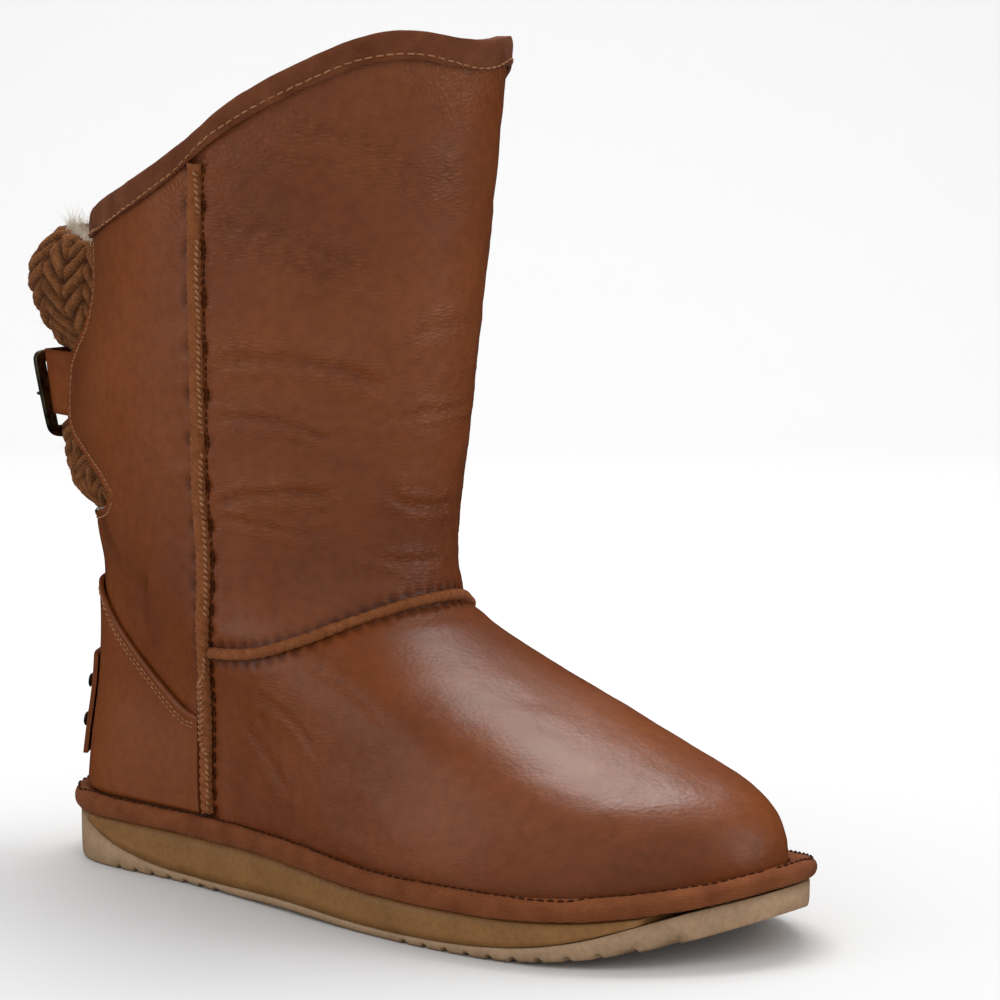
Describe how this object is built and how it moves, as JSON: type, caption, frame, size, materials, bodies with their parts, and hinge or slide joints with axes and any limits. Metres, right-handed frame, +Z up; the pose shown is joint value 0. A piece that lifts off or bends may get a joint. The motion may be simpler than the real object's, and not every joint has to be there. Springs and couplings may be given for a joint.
{
  "type": "sheepskin boot",
  "caption": "Right sheepskin boot, mid-calf high, with a hollow leather shaft, raised seams, a knitted gusset at the back under a buckled strap, and a flat layered sole.",
  "frame": {"origin": "bottom centre of the bounding box, on the floor the boot stands on", "axes": "+Z up, +Y from the toe to the heel, +X to the inner side of the right foot"},
  "size_m": [0.1158, 0.305, 0.265],
  "materials": {
    "tan_leather": "smooth nappa, soft sheen",
    "strap_leather": "smooth, soft sheen",
    "twill_tape": "matt twill",
    "seam_thread": "matt cord",
    "brown_knit": "matt wool knit",
    "tan_rubber": "satin",
    "amber_foam": "satin",
    "cream_fleece": "matt wool pile",
    "antique_brass": "dull antique",
    "dark_metal": "dull dark"
  },
  "bodies": {
    "root": {"outsole": "tan_rubber", "midsole": "amber_foam", "foxing_tape": "twill_tape", "insole": "cream_fleece", "upper": "tan_leather", "knit_gusset": "brown_knit", "collar_tape": "twill_tape", "side_seam_outer": "seam_thread", "side_seam_inner": "seam_thread", "vamp_seam": "seam_thread", "heel_counter": "tan_leather", "heel_patch": "strap_leather", "rivet_upper_outer": "dark_metal", "rivet_upper_inner": "dark_metal", "rivet_lower_outer": "dark_metal", "rivet_lower_inner": "dark_metal", "strap": "strap_leather", "buckle_frame": "antique_brass", "buckle_prong": "antique_brass", "buckle_chape": "strap_leather"}
  },
  "joints": []
}
